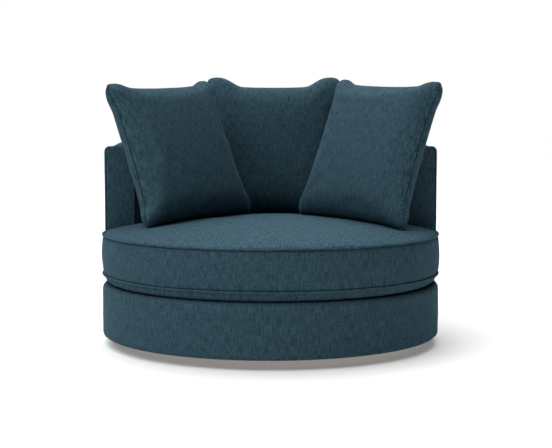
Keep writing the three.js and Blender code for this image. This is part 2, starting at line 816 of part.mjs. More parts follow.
function insideShell(p, spare) {
  const front = shellEndSetback - weltRadius - spare;
  const wall = shellInner * shellFacet - spare;
  return Math.hypot(p.x, p.y) > wall && p.y > front && p.z < shellTop + spare;
}

// Points on the edges of the shell that a side pillow leans over.
function shellEdges(side) {
  const front = shellEndSetback - weltRadius;
  const upright = Array.from({ length: seatSteps }, (_, i) => new THREE.Vector3(
    side * shellInner, front, upperPiping + (shellTop - upperPiping) * (i + 1) / seatSteps,
  ));
  const across = Array.from({ length: smallSteps + 1 }, (_, i) => new THREE.Vector3(
    side * (shellInner + shellThickness * i / smallSteps), front, shellTop,
  ));
  const round = Array.from({ length: seatSteps }, (_, i) => {
    const angle = Math.PI / 2 * i / seatSteps;
    return new THREE.Vector3(side * shellInner * Math.cos(angle), shellInner * Math.sin(angle), shellTop);
  });
  return [...upright, ...across, ...round];
}

// Slides a pillow forward until it is clear of the shell and of the pillow behind it.
function settle(x, pose, behind) {
  const behindInverse = behind?.clone().invert();
  const obstacles = behind ? [...skinAt(behind), ...shellEdges(Math.sign(x))] : [];
  for (let y = shellInner; y > -shellInner; y -= slideStep) {
    const place = restOnSeat(x, y, pose);
    const inverse = place.clone().invert();
    const meets = obstacles.some((p) => insidePillow(p, inverse, pillowGap))
      || skinAt(place).some((p) => insideShell(p, pillowGap)
        || (behind && insidePillow(p, behindInverse, pillowGap)));
    if (!meets) return place;
  }
  throw new Error('no room for a pillow');
}

function addPillow(name, place) {
  const seam = pillowSeamInset;
  const inside = skin(pillowRings(coverThickness, seam, fillingSideSteps, insideShares, false));
  const slit = new THREE.BoxGeometry(pillowWidth / 2, zipSlit, 4 * seam);
  slit.translate(0, 0, -(pillowHeight / 2) * (1 - edgeDrawShare));
  const cover = addPiece(`${name}_cover`, cutAway(skin(pillowSkin), [inside, slit]), cloth);
  const padInset = coverThickness + fillGap;
  const filling = pillowRings(padInset, seam + fillGap, fillingSideSteps, insideShares, false);
  const pad = addPiece(`${name}_filling`, skin(filling), fibre);
  for (const piece of [cover, pad]) piece.applyMatrix4(place);
}

function pillows() {
  const backPlace = settle(backPose.acrossShare * shellInner, backPose);
  addPillow('back_pillow', backPlace);
  for (const pose of sidePoses) {
    const sidePlace = settle(pose.acrossShare * shellInner, pose, backPlace);
    addPillow(`${pose.name}_pillow`, sidePlace);
  }
}

glides();
floorDisc();
screws('lower_screw', false);
ballRace();
screws('upper_screw', true);
kingBolt();
drumFrame();
springDeck();
drumWrap();
deckCloth();
shellFrame();
shellWrap();
seatCushion();
pillows();

export default chair;
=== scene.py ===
# Cuddle chair: cloth, piping, loose pillows and finishes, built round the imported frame.
# Metres, +Z up, the front of the chair faces -Y, as in the frame.
import json
from functools import cache
from math import asin, cos, exp, pi, radians, sin

import bmesh
import bpy
import numpy as np
from bpy.types import Operator, Panel, PropertyGroup
from mathutils import Matrix, Vector, noise


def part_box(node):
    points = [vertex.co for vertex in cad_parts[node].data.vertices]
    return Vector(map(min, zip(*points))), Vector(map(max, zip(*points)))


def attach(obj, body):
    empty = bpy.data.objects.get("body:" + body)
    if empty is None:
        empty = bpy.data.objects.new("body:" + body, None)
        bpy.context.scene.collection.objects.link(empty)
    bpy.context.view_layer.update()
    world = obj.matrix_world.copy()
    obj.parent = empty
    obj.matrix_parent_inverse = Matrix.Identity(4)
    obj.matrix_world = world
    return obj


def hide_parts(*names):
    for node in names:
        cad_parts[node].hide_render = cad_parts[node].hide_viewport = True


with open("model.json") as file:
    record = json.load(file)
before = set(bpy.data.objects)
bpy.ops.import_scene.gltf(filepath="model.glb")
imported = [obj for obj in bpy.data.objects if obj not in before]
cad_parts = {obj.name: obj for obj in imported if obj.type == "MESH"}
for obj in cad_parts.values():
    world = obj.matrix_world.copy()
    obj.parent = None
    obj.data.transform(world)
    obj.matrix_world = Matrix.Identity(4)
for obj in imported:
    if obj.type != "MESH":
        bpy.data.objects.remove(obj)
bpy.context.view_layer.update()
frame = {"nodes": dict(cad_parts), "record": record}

bl_info = {
    "name": "Cuddle Chair",
    "version": (1, 0, 0),
    "blender": (4, 5, 0),
    "location": "View3D > Sidebar > Cuddle Chair",
    "description": "Upholsters a round swivelling cuddle chair and fills its pillows",
    "category": "Add Mesh",
}

FRONT_TURN = radians(-90)
BACK_TURN = radians(90)


def box_of(node):
    """Lowest and highest corner of a frame node as arrays."""
    low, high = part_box(node)
    return np.array(low), np.array(high)


drum_low, drum_high = box_of("drum_cover")
shell_low, shell_high = box_of("shell_cover")
seat_low, seat_high = box_of("seat_cover")
FULL_RADIUS = float(max(drum_high[:2]))
SEAT_RADIUS = FULL_RADIUS - 0.003  # of the cushion's wide front
SHELL_TOP = float(shell_high[2])
SHELL_DROP = 0.0025  # how far the edges of the shell's top lie below SHELL_TOP
END_INSET = 0.002  # how far the shell's end panels lie behind the frame's

UPRIGHT_SEAM = 0.0035  # half width of the dip at an upright seam
TUCK = 1.35  # depth of the seat's piped seams, in radii of their cord
TUCK_WIDTH = 0.006  # how far from a piped seam the cloth starts to dip
CORD_STEP = 0.006  # distance between a cord's rings

NET_POINTS = 49  # along each side of the pillows' nets that are filled
FINE_POINTS = 73  # along each side of the nets that are shown
FILL_FRAMES = 40
LOOSE_FILL = 0.16  # of a pillow's thickness, before it is filled
PUCKER = 0.0016  # height of the unevenness in a pillow's cloth
PUCKER_WIDTH = 0.02  # how far in from a pillow's rim its puckers reach
PILLOW_PIPING = 0.85  # radius of the pillows' piping against the seat's
SEAT_TOUCH = 0.0012  # gap between a pillow's skin and the seat's
SHELL_TOUCH = 0.0035  # gap between a pillow's skin and the shell's inner wall
EDGE_ROOM = 0.005  # height left under a pillow's lower edge for its piping


# Sizes and colours that a user would change


def number(name, description, default, low, high, **kind):
    """A number with its range."""
    return bpy.props.FloatProperty(name=name, description=description, default=default,
                                   min=low, max=high, **kind)


def length(*wording_and_range):
    """A number in metres."""
    return number(*wording_and_range, unit="LENGTH")


def shade(name, description, default):
    """A linear colour."""
    return bpy.props.FloatVectorProperty(name=name, description=description, default=default,
                                         min=0, max=1, size=3, subtype="COLOR")


class ClothSettings(PropertyGroup):
    colour: shade("Cloth colour", "Colour of the woven cloth, linear", (0.0272, 0.0585, 0.0782))
    slub: number("Slub", "How much the thick threads stand out", 0.5, 0, 1, subtype="FACTOR")
    thread: length("Thread pitch", "Distance between the weave's threads", 0.0018, 0.0005, 0.01)
    thickness: length("Cloth thickness", "Cloth with its backing", 0.003, 0.0005, 0.01)
    piping: length("Piping radius", "Radius of the cloth-covered piping cord", 0.0036, 0.001, 0.01)


class DrumSettings(PropertyGroup):
    shoulder: length("Shoulder round", "Radius of the drum's upper edge", 0.022, 0.005, 0.05)
    hem: length("Hem round", "Radius of the drum's lower edge", 0.012, 0.005, 0.05)
    hem_turn: length("Hem turn", "Width of the cloth turned under the drum", 0.055, 0.02, 0.1)
    flap: length("Flap", "Width of the flap on top of the drum", 0.032, 0.02, 0.1)
    seam_depth: length("Seam depth", "Depth of the chair's upright seams", 0.003, 0, 0.01)


class ShellSettings(PropertyGroup):
    wall: length("Wall", "Thickness of the padded shell", 0.108, 0.05, 0.2)
    outer_round: length("Outer round", "Radius of the outer upper edge", 0.016, 0.003, 0.04)
    inner_round: length("Inner round", "Radius of the inner upper edge", 0.010, 0.003, 0.04)
    crown: length("Crown", "How far the padding of the shell's top stands up", 0.019, 0, 0.03)
    puff: length("Puff", "How far the padding of an end panel stands out", 0.003, 0, 0.01)


class SeatSettings(PropertyGroup):
    roll: length("Roll", "Height of the roll below the lower piping", 0.036, 0.01, 0.08)
    border: length("Border", "Height of the border between the two pipings", 0.142, 0.05, 0.25)
    bulge: length("Bulge", "How far the border stands out between the pipings", 0.006, 0, 0.02)
    back_radius: length("Back radius", "Radius of the part inside the shell", 0.503, 0.3, 0.6)
    ear: length("Ear line", "Where the wide front ends, behind the middle", 0.047, 0, 0.1)


class PillowSettings(PropertyGroup):
    width: length("Width", "Width of a side pillow from corner to corner", 0.531, 0.3, 0.8)
    back_width: length("Back width", "Width of the back pillow", 0.545, 0.3, 0.8)
    height: length("Height", "Height of a side pillow from corner to corner", 0.570, 0.3, 0.8)
    back_height: length("Back height", "Height of the back pillow", 0.585, 0.3, 0.8)
    thickness: length("Thickness", "Thickness of a filled pillow", 0.186, 0.05, 0.3)
    draw: number(
        "Edge draw", "How much an edge pulls in midway", 0.11, 0, 0.2, subtype="FACTOR")
    cut: number("Cut", "Size of the flat panels against the filled pillow", 1.06, 1, 1.3)
    give: length("Give", "How far the cloth may depart from its form", 0.012, 0, 0.05)
    crease: number("Creases", "How much of the creasing is kept", 0.5, 0, 1, subtype="FACTOR")


class StageSettings(PropertyGroup):
    floor: shade("Floor colour", "Colour of the studio floor, linear", (0.60, 0.60, 0.60))
    glow: number("Floor glow", "Strength of the light that comes through the floor", 0.20, 0, 2)
    key: number("Key light", "Strength of the soft light from the upper left", 1.90, 0, 20)
    overhead: number("Overhead light", "Strength of the very wide light overhead", 1.50, 0, 20)
    behind: number("Back light", "Strength of the soft light above and behind", 3.05, 0, 20)


SETTINGS = {
    "chair_cloth": ClothSettings,
    "chair_drum": DrumSettings,
    "chair_shell": ShellSettings,
    "chair_seat": SeatSettings,
    "chair_pillows": PillowSettings,
    "chair_stage": StageSettings,
}


# Mesh helpers


def link(name, data):
    """Puts an object that holds this data in the scene."""
    made = bpy.data.objects.new(name, data)
    bpy.context.scene.collection.objects.link(made)
    return made


def lay_cloth(mesh, corners):
    """Gives each corner of a mesh's faces its place on the cloth."""
    layer = mesh.uv_layers.new(name="cloth")
    layer.data.foreach_set("uv", corners.astype(np.float32).ravel())


def corners_of(grid):
    """What a grid holds at the four corners of each of its faces."""
    return np.stack([grid[:-1, :-1], grid[:-1, 1:], grid[1:, 1:], grid[1:, :-1]], axis=2)


def sew(name, panels):
    """One mesh from panels, whose shared edges are welded into seams.

    A panel is a grid of points with a grid of cloth coordinates, in metres of cloth. Where the
    cloth has one column more, the panel's last column joins its first."""
    points, faces, corners = [], [], []
    for grid, cloth in panels:
        rows, columns = grid.shape[:2]
        index = sum(map(len, points)) + np.arange(rows * columns).reshape(rows, columns)
        if cloth.shape[1] > columns:
            index = np.column_stack([index, index[:, 0]])
        points.append(grid.reshape(-1, 3))
        faces.append(corners_of(index).reshape(-1, 4))
        corners.append(corners_of(cloth).reshape(-1, 2))
    mesh = bpy.data.meshes.new(name)
    mesh.from_pydata(np.concatenate(points).tolist(), [], np.concatenate(faces).tolist())
    lay_cloth(mesh, np.concatenate(corners))
    weld_seams(mesh)
    mesh.shade_smooth()
    return link(name, mesh)


def weld_seams(mesh, distance=1e-5):
    """Joins points that lie together, drops faces without area and turns the rest outward."""
    made = bmesh.new()
    made.from_mesh(mesh)
    bmesh.ops.remove_doubles(made, verts=made.verts, dist=distance)
    bmesh.ops.dissolve_degenerate(made, edges=made.edges, dist=distance)
    bmesh.ops.recalc_face_normals(made, faces=made.faces)
    made.to_mesh(mesh)
    made.free()


def about_middle(radii, turns, levels):
    """Points at these radii, turns about the chair's middle and heights."""
    return np.stack(np.broadcast_arrays(radii * np.cos(turns), radii * np.sin(turns), levels),
                    axis=-1)


def at_height(plan, height):
    """The points of a plan at one height."""
    return np.column_stack([plan, np.full(len(plan), height)])


def cloth_grid(across, up):
    """Cloth coordinates of a grid from those of its columns and rows."""
    return np.stack(np.meshgrid(across, up), axis=-1)


def arc(centre, radius, start, end, steps):
    """Points of an arc in a section, as radius and height."""
    turns = np.radians(np.linspace(start, end, steps + 1))
    return [(centre[0] + radius * cos(a), centre[1] + radius * sin(a)) for a in turns]


def unit(vectors):
    """The same directions, each 1 long."""
    return vectors / np.linalg.norm(vectors, axis=1)[:, None]


def heading(line, closed):
    """The direction of a line at each of its points."""
    if closed:
        return unit(np.roll(line, -1, axis=0) - np.roll(line, 1, axis=0))
    return unit(np.gradient(line, axis=0))


def lengths_along(line, closed=False):
    """Distance along a line of points, and back to the first if it is closed."""
    if closed:
        line = np.vstack([line, line[:1]])
    return np.append(0, np.cumsum(np.linalg.norm(np.diff(line, axis=0), axis=1)))


def respace(line, spacing, closed=False):
    """The same line with points evenly spaced."""
    if closed:
        line = np.vstack([line, line[:1]])
    along = lengths_along(line)
    marks = np.linspace(0, along[-1], max(2, round(along[-1] / spacing)) + 1)
    even = np.column_stack([np.interp(marks, along, axis) for axis in line.T])
    return even[:-1] if closed else even


def ripple(points, scale, seed):
    """Smooth noise from -1 to 1 at each point."""
    moved = np.asarray(points, float) / scale + seed
    heights = [noise.noise(Vector(point)) for point in moved.reshape(-1, 3)]
    return np.array(heights).reshape(moved.shape[:-1])


def ripples(points, *waves):
    """Sum of waves of noise, each with its height, its length and its seed."""
    return sum(height * ripple(points, scale, seed) for height, scale, seed in waves)


def cord(name, body, line, radius, closed, sides=10, reference=(0, 0, 1), flange=0.0,
         slot="upholstery_cloth"):
    """A covered cord along a line of points.

    The flange is how far the cover reaches on into its seam, as a share of the radius, and its
    sign tells on which side of the line."""
    along = heading(line, closed)
    across = unit(np.cross(along, reference))
    upward = np.cross(across, along)
    turns = np.linspace(0, 2 * pi, sides + 1)[:-1]
    swell = 1 + ripples(line, (0.05, 0.012, 7.3))
    drop = 1 + abs(flange) * np.clip(-np.sign(flange) * np.cos(turns), 0, 1) ** 6
    sweep = np.stack([np.cos(turns), np.sin(turns)]) * drop * radius
    offsets = sweep[0][:, None] * across[:, None] + sweep[1][:, None] * upward[:, None]
    rings = line[:, None] + swell[:, None, None] * offsets
    girth = np.linspace(0, 2 * pi * radius, sides + 1)
    cloth = cloth_grid(girth, lengths_along(line, closed))[..., ::-1]
    if closed:
        panels = [(np.concatenate([rings, rings[:1]]), cloth)]
    else:
        panels = [(rings, cloth)] + [(np.stack(np.broadcast_arrays(rings[i], line[i])),
                                      np.stack([cloth[i], cloth[i]])) for i in (0, -1)]
    dress(sew(name, panels), body, slot=slot)


def thicken(piece, thickness):
    """Gives a single skin the thickness of the cloth, inward."""
    shell = piece.modifiers.new("Cloth thickness", "SOLIDIFY")
    shell.thickness = thickness
    shell.offset = -1
    apply_modifiers(piece)


def apply_modifiers(piece):
    """Bakes every modifier of a piece into its mesh."""
    depsgraph = bpy.context.evaluated_depsgraph_get()
    done = bpy.data.meshes.new_from_object(piece.evaluated_get(depsgraph), depsgraph=depsgraph)
    old, name = piece.data, piece.data.name
    piece.modifiers.clear()
    piece.data = done
    bpy.data.meshes.remove(old)
    done.name = name


def dress(piece, body, *nodes, slot="upholstery_cloth"):
    """Gives a piece its finish and puts it in the place of frame nodes."""
    piece.data.materials.clear()
    piece.data.materials.append(finish(slot))
    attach(piece, body)
    if nodes:
        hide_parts(*nodes)


# Drum


def seam_dip(turns, *seams):
    """How far the cloth sinks into upright seams at these turns about the middle."""
    depth = bpy.context.scene.chair_drum.seam_depth
    away = [(turns - seam + pi) % (2 * pi) - pi for seam in seams]
    return sum(depth * np.exp(-(a * FULL_RADIUS / UPRIGHT_SEAM) ** 2) for a in away)


def turns_round(*seams, spacing=0.012, seam_reach=0.009):
    """Turns once round the drum at an even spacing, with more of them at the seams."""
    start, end = seams[0], seams[0] + 2 * pi
    even = np.linspace(start, end, round(2 * pi * FULL_RADIUS / spacing) + 1)
    near = np.linspace(-seam_reach, seam_reach, 13) / FULL_RADIUS
    near = np.concatenate([seam + near for seam in seams])
    kept = [turn for turn in even if min(abs(turn - near)) > 0.4 * spacing / FULL_RADIUS]
    turns = np.sort(np.concatenate([kept, near]))
    return turns[(turns >= start - 1e-9) & (turns < end - 1e-4)]


def drum_section(settings):
    """Radius and height from the hem under the drum round to the flap on top."""
    shoulder = (FULL_RADIUS - settings.shoulder, drum_high[2] - settings.shoulder)
    hem = (FULL_RADIUS - settings.hem, drum_low[2] + settings.hem)
    wall = np.linspace(hem[1], shoulder[1], 20)[1:-1]
    return np.array(
        [(FULL_RADIUS - settings.hem_turn, drum_low[2])]
        + arc(hem, settings.hem, -90, 0, 6)
        + [(FULL_RADIUS, z) for z in wall]
        + arc(shoulder, settings.shoulder, 0, 90, 8)
        + [(FULL_RADIUS - settings.flap, drum_high[2])])


class CHAIR_OT_drum(Operator):
    """Covers the drum with one cloth wrap, seamed in front and behind"""
    bl_idname = "chair.cover_drum"
    bl_label = "Cover the drum"

    def execute(self, context):
        settings = context.scene.chair_drum
        turns = turns_round(FRONT_TURN, BACK_TURN)
        section = respace(drum_section(settings), 0.006)
        dips = seam_dip(turns, FRONT_TURN, BACK_TURN)
        on_wall = section[:, 0] > FULL_RADIUS - 0.9 * settings.shoulder
        radii = section[:, None, 0] - on_wall[:, None] * dips
        points = about_middle(radii, turns, section[:, None, 1])
        soft = ripples(points, (0.0012, 0.11, 3.1), (0.0004, 0.03, 9.7))
        points[..., :2] *= (1 + soft / FULL_RADIUS)[..., None]
        around = np.append(turns, turns[0] + 2 * pi) * FULL_RADIUS
        piece = sew("drum_wrap", [(points, cloth_grid(around, lengths_along(section)))])
        thicken(piece, 0.8 * context.scene.chair_cloth.thickness)
        dress(piece, "chair", "drum_cover", "drum_foam")
        return {"FINISHED"}


# Shell


def shell_section(settings):
    """Radius and height up the outer side, over the top and down inside, and a side's rows."""
    top = SHELL_TOP - SHELL_DROP
    straight = np.linspace(shell_low[2], top - settings.outer_round, 44)[:-1]
    bend = top - settings.outer_round * (1 - np.sin(np.radians(np.linspace(0, 90, 9))))
    heights = np.concatenate([straight, bend])

    def side(wall, radius, inward):
        over = np.clip(heights - (top - radius), 0, radius)
        return wall + inward * (radius - np.sqrt(np.maximum(radius ** 2 - over ** 2, 0)))

    outer = side(FULL_RADIUS, settings.outer_round, -1)
    inner = side(FULL_RADIUS - settings.wall, settings.inner_round, 1)
    across = np.linspace(outer[-1], inner[-1], 12)[1:-1]
    return np.vstack([np.column_stack([outer, heights]), at_height(across, top),
                      np.column_stack([inner, heights])[::-1]]), len(heights)


def end_panel(edge, rows, most):
    """Fills one square end of the shell with a panel that is puffed a little."""
    outer, inner = edge[:rows], edge[::-1][:rows]
    shares = np.linspace(0, 1, len(edge) - 2 * rows + 2)
    points = outer[:, None] + (inner - outer)[:, None] * shares[:, None]
    up = np.linspace(0, 1, rows)
    puff = np.sqrt(np.sin(pi * shares) * np.clip((1 - up) / 0.05, 0, 1)[:, None])
    points[..., 1] -= most * puff
    return points, points[..., [0, 2]]


def shell_piping(side, sign, section, end_y, wall, radius):
    """A covered cord round the end panel's edge, sunk a little into the wrap."""
    sunk = 0.0015
    line = respace(section, CORD_STEP)
    across = line[:, 0] - sunk * np.sign(line[:, 0] - (FULL_RADIUS - wall / 2))
    line = np.column_stack([sign * across, np.full(len(line), end_y + sunk), line[:, 1]])
    cord(f"shell_piping_{side}", "chair", line, radius, closed=False, reference=(0, 1, 0))


class CHAIR_OT_shell(Operator):
    """Covers the barrel shell: wrap, two end panels and their piping"""
    bl_idname = "chair.cover_shell"
    bl_label = "Cover the shell"

    def execute(self, context):
        settings = context.scene.chair_shell
        cloth = context.scene.chair_cloth
        end_y = shell_low[1] + END_INSET
        section, rows = shell_section(settings)
        half = len(section) // 2
        shares = np.linspace(0, 1, 151)
        radii = section[:, :1]
        starts = np.arcsin(end_y / radii)
        turns = starts + (pi - 2 * starts) * shares
        points = about_middle(radii, turns, section[:, 1:])
        edge = np.minimum(shares, 1 - shares)
        rise = settings.crown * np.sin(np.linspace(0, pi, len(section) - 2 * rows + 2))
        points[rows - 1:1 - rows, :, 2] += rise[:, None] * np.sqrt(np.clip(edge / 0.03, 0, 1))
        dips = seam_dip(turns, BACK_TURN)
        dips[half:] = 0
        soft = ripples(points, (0.0014, 0.13, 5.5), (0.0004, 0.035, 2.2))
        soft *= np.clip(edge / 0.02, 0, 1)
        soft[half:] = np.abs(soft[half:])
        points[..., :2] *= (1 + (soft - dips) / radii)[..., None]
        outside = np.arange(len(section))[:, None] < half
        around = turns * np.where(outside, FULL_RADIUS, FULL_RADIUS - settings.wall / 2)
        height = np.broadcast_to(lengths_along(section)[:, None], around.shape)
        wrap = points, np.stack([around, height], axis=-1)
        ends = [end_panel(points[:, i], rows, settings.puff) for i in (0, -1)]
        piece = sew("shell_wrap", [wrap, *ends])
        thicken(piece, cloth.thickness)
        dress(piece, "chair", "shell_cover", "shell_foam", "shell_inner_foam")
        for side, sign in (("left", -1), ("right", 1)):
            shell_piping(side, sign, section, end_y, settings.wall, cloth.piping)
        return {"FINISHED"}


# Seat cushion


def fillet(before, corner, after, radius):
    """Rounds a corner of a plan."""
    start, end = corner + radius * unit(np.array([before, after]) - corner)
    marks = np.linspace(0, 1, 7)[:, None]
    return (1 - marks) ** 2 * start + 2 * marks * (1 - marks) * corner + marks ** 2 * end


def seat_plan(settings):
    """Plan of the cushion: full round in front, narrower behind, with soft ears."""
    front, back, ear = SEAT_RADIUS, settings.back_radius, settings.ear
    tip, root = asin(ear / front), asin(ear / back)
    soft = 0.014

    def on(radius, turns):
        return radius * np.stack([np.cos(turns), np.sin(turns)], axis=-1)

    front_arc = on(front, np.linspace(pi - tip + soft / front, 2 * pi + tip - soft / front, 160))
    back_arc = on(back, np.linspace(root + soft / back, pi - root - soft / back, 120))
    corner, inner_corner = on(front, tip), on(back, root)
    right_tip = fillet(front_arc[-1], corner, inner_corner, soft)
    right_root = fillet(corner, inner_corner, back_arc[0], soft)
    left_root, left_tip = (side[::-1] * (-1, 1) for side in (right_root, right_tip))
    plan = [front_arc[1:-1], right_tip, right_root, back_arc[1:-1], left_root, left_tip]
    return respace(np.vstack(plan), 0.009, closed=True)


def seat_seams(settings):
    """Heights of the cushion's lower and upper piping."""
    lower = float(seat_low[2]) + settings.roll
    return lower, lower + settings.border


def domed(upper, share):
    """Height of the cushion's top panel at a share of the way out to its piping."""
    return upper + (float(seat_high[2]) - upper) * (1 - share ** 2.2) ** 0.7


def tucked(plan, away, distance, pipe):
    """A plan drawn in by a piped seam that is at this distance."""
    return plan - away * (pipe * TUCK * exp(-(distance / TUCK_WIDTH) ** 2))


def outward(plan):
    """Directions out of a closed plan."""
    along = heading(plan, closed=True)
    return np.column_stack([along[:, 1], -along[:, 0]])


def seat_underside(plan, away, lower, pipe):
    """Flat in the middle, rolled up to the lower piping."""
    bottom = seat_low[2]
    turns = np.radians(np.linspace(0, 90, 9))
    rolled = 0.048 * unit(plan)
    points = [at_height((plan - rolled) * share, bottom) for share in (0.0, 0.35, 0.7, 0.9)]
    points += [at_height(plan - rolled * (1 - np.sin(t)) - away * pipe * TUCK * np.sin(t) ** 6,
                         bottom + (lower - bottom) * (1 - np.cos(t))) for t in turns]
    points = np.stack(points)
    return points, flat_cloth(points)


def seat_border(plan, away, around, lower, upper, bulge, pipe):
    """The upright band between the pipings, tucked into both seams."""
    shares = np.concatenate([[0, 0.012, 0.03], np.linspace(0.06, 0.94, 17), [0.97, 0.988, 1]])
    heights = shares * (upper - lower)
    from_seam = np.minimum(heights, heights[::-1])
    points = np.stack([
        at_height(tucked(plan + away * bulge * sin(pi * share), away, near, pipe),
                  lower + height)
        for share, near, height in zip(shares, from_seam, heights)])
    pucker = np.exp(-(from_seam / 0.02) ** 2)[:, None]
    soft = (ripples(points, (0.0010, 0.07, 1.9), (0.0016, 0.16, 8.8))
            + pucker * ripples(points * (1, 1, 0.3), (0.0009, 0.014, 6.1)))
    soft[[0, -1]] = 0
    points[..., :2] += away * soft[..., None]
    return points, cloth_grid(around, heights)


def seat_top(plan, away, upper, pipe):
    """The domed top panel."""
    shares = np.concatenate([[1, 0.997, 0.992, 0.985, 0.972], np.linspace(0.95, 0.0, 34)])
    from_seam = (1 - shares) * FULL_RADIUS
    points = np.stack([
        at_height(tucked(plan, away, near, pipe) * share, domed(upper, share))
        for share, near in zip(shares, from_seam)])
    pucker = np.exp(-(from_seam / 0.03) ** 2)[:, None]
    soft = (ripples(points, (0.0018, 0.15, 2.7), (0.0010, 0.07, 5.9))
            + pucker * ripples(points, (0.0012, 0.016, 3.3)))
    soft[0] = 0
    soft[-1] = soft[-1].mean()
    points[..., 2] += soft
    return points, flat_cloth(points)


def flat_cloth(points):
    """Cloth coordinates of a level panel that closes on itself."""
    return np.concatenate([points, points[:, :1]], axis=1)[..., :2]


def sew_zip(lower, upper, settings):
    """A closed coil zip with its tape, behind the cushion."""
    low, high = box_of("seat_zip")
    radius = settings.back_radius + settings.bulge + 0.0004
    half = (high[0] - low[0]) / 2 / radius
    half_width, coil_turns, coil_rise, coil_reach = 0.011, 100, 0.0008, 0.0024
    middle = (lower + upper) / 2
    turns = BACK_TURN + np.linspace(-half, half, 61)
    across = np.linspace(-half_width, half_width, 7)
    out = radius + 0.0006 * np.cos(across / half_width * pi / 2)
    points = about_middle(out[:, None], turns, (middle + across)[:, None])
    tape = sew("seat_zip_tape", [(points, cloth_grid(turns * radius, across))])
    thicken(tape, 0.0012)
    dress(tape, "seat_cushion", "seat_zip", slot="zip_nylon")
    steps = np.linspace(0, 1, 12 * coil_turns + 1)
    swirl = 2 * pi * coil_turns * steps
    coil = about_middle(radius + 0.0011 + coil_rise * np.cos(swirl),
                        BACK_TURN - half + 2 * half * steps,
                        middle + coil_reach * np.sin(swirl))
    cord("seat_zip_coil", "seat_cushion", coil, 0.0005, closed=False, sides=5, slot="zip_nylon")


class CHAIR_OT_seat(Operator):
    """Sews the boxed seat cushion: underside, border, crown, two pipings and the zip"""
    bl_idname = "chair.sew_seat_cushion"
    bl_label = "Sew the seat cushion"

    def execute(self, context):
        settings = context.scene.chair_seat
        pipe = context.scene.chair_cloth.piping
        plan = seat_plan(settings)
        away = outward(plan)
        around = lengths_along(plan, closed=True)
        lower, upper = seat_seams(settings)
        piece = sew("seat_cushion", [
            seat_underside(plan, away, lower, pipe),
            seat_border(plan, away, around, lower, upper, settings.bulge, pipe),
            seat_top(plan, away, upper, pipe),
        ])
        dress(piece, "seat_cushion", "seat_cover", "seat_foam")
        for name, level in (("lower", lower), ("upper", upper)):
            ring = at_height(plan + away * 0.0008, level)
            ring[:, 2] += ripples(ring, (0.0012, 0.09, 4.4))
            cord(f"seat_piping_{name}", "seat_cushion", ring, pipe, closed=True, flange=0.9)
        sew_zip(lower, upper, settings)
        return {"FINISHED"}


# Pillows


def ear(share, tip, strength):
    """How far an edge stands out: a gentle sweep, then a short rise to the corner's tip."""
    reach = 1.1 * (1 - tip)
    rise = np.clip((np.abs(share) - tip + reach) / reach, 0, 1)
    return (1 - strength) * np.abs(share) ** 3 + strength * rise * rise * (3 - 2 * rise)


def pillow_form(net, pose, size, settings):
    """Points of a filled pillow in its own frame: x across, z up, front to -y."""
    u, v, side = net.u, net.v, net.side
    tip = 1 - 2 * pose["corner"] / min(size)
    draw_u = 1 - settings.draw * (1 - ear(v, tip, pose["ear"]))
    draw_v = 1 - (settings.draw * (1 - ear(u, tip, pose["ear"]))
                  * np.where(v > 0, pose["top_draw"], 1))
    fat = 0.75 * np.sqrt(np.maximum((1 - np.abs(u) ** 7) * (1 - np.abs(v) ** 7), 0))
    fat += 0.25 * (1 - u ** 2) * (1 - v ** 2)
    points = pillow_cut(u, v, size, pose["corner"])
    points[..., 0] *= draw_u * (1 - pose["taper"] * v)
    points[..., 1] = side * settings.thickness / 2 * fat * np.where(side > 0, pose["rear"], 1)
    points[..., 2] *= draw_v
    return points


def pillow_cut(u, v, size, corner):
    """Points of a pillow's flat panels as they are cut, with rounded corners."""
    flat = np.stack([u * size[0] / 2, v * size[1] / 2], axis=-1)
    inner = np.clip(flat, -np.array(size) / 2 + corner, np.array(size) / 2 - corner)
    over = (flat - inner) / corner
    over = over * np.sqrt(1 - over[..., ::-1] ** 2 / 2)
    across, up = np.moveaxis(inner + corner * over, -1, 0)
    return np.stack([across, 0 * across, up], axis=-1)


